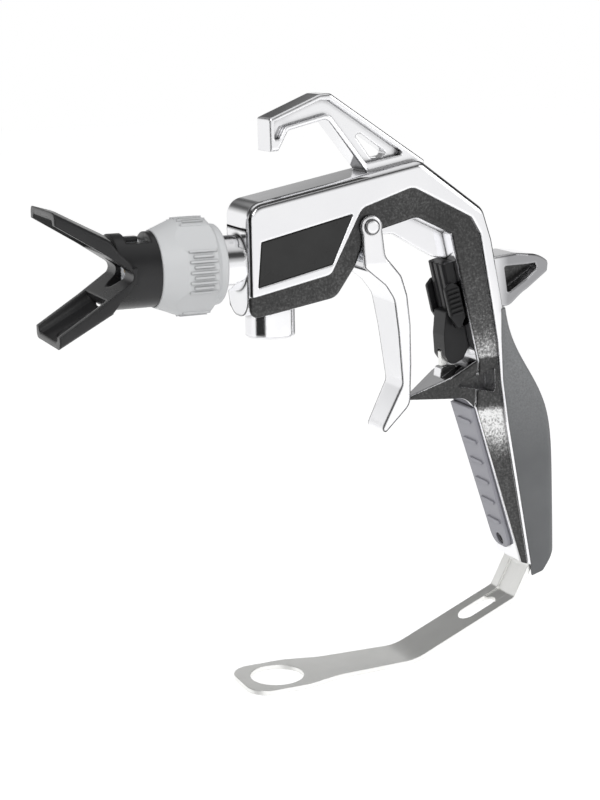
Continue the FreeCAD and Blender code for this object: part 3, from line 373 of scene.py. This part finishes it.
def surface(name, colour, metallic, roughness, **extra):
    """A new material with a Principled shader, and its node tree."""
    material = bpy.data.materials.new(name)
    material.use_nodes = True
    tree = Tree(material.node_tree)
    shader = tree.add("BsdfPrincipled", base_color=opaque(colour), metallic=metallic,
                      roughness=roughness, **extra)
    tree.add("OutputMaterial", surface=shader.outputs[0])
    return material, tree, shader


def noise(tree, scale, detail=4.0, roughness=0.5, stretch=(1, 1, 1)):
    """Noise in the piece's own coordinates; the scale is in waves per metre."""
    place = tree.add("TexCoord").outputs["Object"]
    place = tree.add("Mapping", vector=place, scale=stretch).outputs[0]
    return tree.add("TexNoise", vector=place, scale=scale, detail=detail, roughness=roughness).outputs[0]


def softened(tree, radius, samples):
    """The surface's direction, with its edges rounded to a radius."""
    node = tree.add("Bevel", radius=radius)
    node.samples = samples
    return node.outputs[0]


def bump(tree, shader, height, strength, distance, edge=0.5 * MM):
    """Raise the surface by a height, and soften its edges to a radius."""
    soft = softened(tree, edge, samples=6)
    node = tree.add("Bump", height=height, strength=strength, distance=distance, normal=soft)
    tree.put(shader, "normal", node.outputs[0])


def crease_shade(tree, reach):
    """A mask for painted shade: 1 on open surfaces, falling to 0 in corners narrower than the reach."""
    node = tree.add("AmbientOcclusion", distance=reach)
    node.samples = 8
    return share(tree, node.outputs["AO"], first=0.25, last=0.8)


def dark_edge_reflections(tree, radius, turn):
    """A mask for painted dark reflections: 1 on open surfaces, falling to 0 along edges rounded to a
    radius, by how far they turn.
    """
    flat = tree.add("NewGeometry").outputs["True Normal"]
    soft = softened(tree, radius, samples=8)
    likeness = tree.add("VectorMath", operation="DOT_PRODUCT", in0=soft, in1=flat).outputs["Value"]
    return share(tree, likeness, first=1.0 - turn, last=1.0 - turn / 4)


def whereabouts(tree):
    """A point's x, depth from the middle plane and z, and 1 where its face looks sideways."""
    place = tree.add("TexCoord")
    spot = tree.add("SeparateXYZ", vector=place.outputs["Object"])
    facing = tree.add("SeparateXYZ", vector=place.outputs["Normal"])
    depth = calc(tree, "ABSOLUTE", spot.outputs["Y"])
    side = above(tree, calc(tree, "ABSOLUTE", facing.outputs["Y"]), SIDEWAYS)
    return spot.outputs["X"], depth, spot.outputs["Z"], side


def sunk_bands(tree, x, depth, z, side):
    """A mask of the casting's sunk faces, where a dark reflection is painted over their mottle: the bands
    beside the panel and the spurs' hollows.
    """
    sunk = inverse(tree, above(tree, depth, PANEL_DEPTH))
    thin = inverse(tree, above(tree, depth, WEB_DEPTH))
    low = inverse(tree, above(tree, z, HOOK_FOOT))
    gusset = product(tree, thin, above(tree, z, GUSSET_FOOT), inverse(tree, above(tree, x, GUSSET_BACK)))
    spur = product(tree, inverse(tree, thin), above(tree, x, SPUR_FRONT), above(tree, z, SPUR_FOOT))
    return product(tree, side, sunk, low, inverse(tree, gusset), inverse(tree, spur))


def spur_side_reflection(tree, x, depth, z, side):
    """A mask of the rear spur's outer side faces, where a dim grey reflection is painted."""
    tapered = above(tree, calc(tree, "MULTIPLY_ADD", x, SPUR_TAPER, depth), SPUR_TAPER_LEVEL)
    outer = calc(tree, "MAXIMUM", tapered, above(tree, depth, SPUR_SIDE_DEPTH))
    return product(tree, side, share(tree, x, *SPUR_FADE), outer, above(tree, z, SPUR_FOOT))


def polished_alloy():
    """A polished and lacquered casting: bright on its outer panels; its sunk bands mottled and darkened as
    a painted dark reflection, with lighter painted reflection bands, painted shade in corners and a painted
    dim reflection on the rear spur's sides.
    """
    material, tree, shader = surface("polished_alloy", (0.86, 0.86, 0.87), metallic=1.0, roughness=0.08)
    spot = whereabouts(tree)
    depth, z = spot[1:3]
    bands = sunk_bands(tree, *spot)
    speckle = noise(tree, scale=1100.0, detail=3.0, roughness=0.75)
    cloud = noise(tree, scale=35.0, detail=3.0)
    # Painted reflection: lighter bands at set heights on the sunk band's outer faces
    band_highlight = product(tree, greys(tree, z, BAND_HIGHLIGHTS, MM), above(tree, depth, CORE_WALL_DEPTH))
    mottle = calc(tree, "ADD", spread(tree, speckle, 0.0, 0.5), spread(tree, cloud, 0.0, 0.2))
    # The sunk bands' mottle, darkened in the colour as a painted dark reflection
    dark = greys(tree, calc(tree, "ADD", mottle, band_highlight), SUNK_MOTTLE_AND_REFLECTION_GREYS)
    bright = mix(tree, cloud, (0.80, 0.80, 0.82), (0.92, 0.92, 0.93))
    finish = mix(tree, bands, bright, dark)
    # Painted shade: narrow corners darkened
    finish = mix(tree, crease_shade(tree, METAL_SHADE_REACH), CAST_SHADOW, finish)
    # Painted reflection: a dim grey on the rear spur's sides
    finish = mix(tree, spur_side_reflection(tree, *spot), finish, SPUR_REFLECTION_GREY)
    tree.put(shader, "base_color", finish)
    tree.put(shader, "roughness", spread(tree, bands, 0.08, 0.28, first=0.0, last=1.0))
    bump(tree, shader, cloud, strength=0.10, distance=0.4 * MM, edge=1.2 * MM)
    return material


def chrome_plate():
    """Bright chrome with a trace of waviness and fine scuffs, with painted shade in its corners and painted
    dark reflections along its rounded edges.
    """
    material, tree, shader = surface("chrome_plate", (0.90, 0.90, 0.91), metallic=1.0, roughness=0.06)
    bright = mix(tree, noise(tree, scale=45.0), (0.82, 0.82, 0.84), (0.92, 0.92, 0.93))
    # Painted shade: narrow corners darkened
    tone = mix(tree, crease_shade(tree, METAL_SHADE_REACH), CHROME_SHADOW, bright)
    # Painted reflection: dark lines along rounded edges
    tone = mix(tree, dark_edge_reflections(tree, radius=2.0 * MM, turn=0.16), CHROME_EDGE_REFLECTION, tone)
    tree.put(shader, "base_color", tone)
    tree.put(shader, "roughness", spread(tree, noise(tree, scale=250.0), 0.04, 0.12))
    bump(tree, shader, noise(tree, scale=90.0, detail=2.0), strength=0.08, distance=0.3 * MM, edge=2.0 * MM)
    return material


def plated_sheet():
    """Nickel-plated steel sheet, satin, with a rolling grain and scratches."""
    material, tree, shader = surface("plated_sheet", (0.86, 0.86, 0.84), metallic=1.0, roughness=0.36)
    grain = noise(tree, scale=160.0, detail=6.0, roughness=0.7, stretch=(1, 14, 1))
    cloud = noise(tree, scale=70.0, detail=5.0)
    tree.put(shader, "base_color", mix(tree, cloud, (0.80, 0.80, 0.78), (0.95, 0.95, 0.93)))
    tree.put(shader, "roughness", spread(tree, grain, 0.28, 0.45))
    bump(tree, shader, grain, strength=0.1, distance=0.1 * MM)
    return material


def bare_metal(name, colour, roughness):
    """Turned metal with fine tool marks."""
    material, tree, shader = surface(name, colour, metallic=1.0, roughness=roughness)
    marks = noise(tree, scale=1500.0, detail=3.0, roughness=0.6, stretch=(6, 1, 1))
    lighter = tuple(min(1.0, level * 1.15) for level in colour)
    tree.put(shader, "base_color", mix(tree, marks, colour, lighter))
    tree.put(shader, "roughness", spread(tree, marks, roughness * 0.8, roughness * 1.3))
    bump(tree, shader, marks, strength=0.15, distance=0.05 * MM)
    return material


def moulded(name, colour, roughness, grain, depth, wear=0.25, shine=0.5, paler_top=None, edge=0.5 * MM):
    """Moulded plastic: a fine grain, slow colour changes, where given a paler speckled colour towards the
    top, and painted shade in its corners.
    """
    material, tree, shader = surface(name, colour, metallic=0.0, roughness=roughness,
                                     specular_ior_level=shine)
    cloud = noise(tree, scale=55.0)
    fine = noise(tree, scale=grain, detail=3.0, roughness=0.6)
    lighter = tuple(level + (1.0 - level) * 0.24 * wear for level in colour)
    darker = tuple(level * (1.0 - 0.3 * wear) for level in colour)
    shadow = tuple(level * 0.35 for level in colour)
    tone = mix(tree, cloud, darker, lighter)
    if paler_top:
        tone = mix(tree, paler_top_patch(tree), tone, paler_top)
    # Painted shade: narrow corners darkened
    tree.put(shader, "base_color", mix(tree, crease_shade(tree, PLASTIC_SHADE_REACH), shadow, tone))
    tree.put(shader, "roughness", spread(tree, cloud, roughness * 0.85, roughness * 1.15))
    bump(tree, shader, fine, strength=0.3, distance=depth, edge=edge)
    return material


def paler_top_patch(tree):
    """A mask of the speckled, paler part of the grip below the rear spur, paler towards the top."""
    height = tree.add("SeparateXYZ", vector=tree.add("TexCoord").outputs["Object"]).outputs["Z"]
    speckle = spread(tree, noise(tree, scale=1300.0, detail=3.0, roughness=0.8), 0.1, 1.0)
    return product(tree, share(tree, height, *PALER_TOP_HEIGHT), speckle)


def finishes():
    """One material for each of the record's slots."""
    looks = {
        "polished_alloy": polished_alloy(),
        "chrome_plate": chrome_plate(),
        "plated_sheet": plated_sheet(),
    }
    for name, look in BARE_METALS.items():
        looks[name] = bare_metal(name, **look)
    for name, look in MOULDINGS.items():
        looks[name] = moulded(name, **look)
    return looks


def dress():
    """Every CAD node takes the finish of its slot in the record."""
    looks = finishes()
    for row in frame["record"]["subparts"]:
        materials = frame["nodes"][row["node"]].data.materials
        materials.clear()
        materials.append(looks[row["material_slot"]])


camera()
world()
floor()
dress()
far_wall()
for name, settings in CARDS.items():
    card(name, **settings)
for name, settings in LAMPS.items():
    lamp(name, **settings)

view = bpy.context.scene.view_settings
view.view_transform = "Standard"
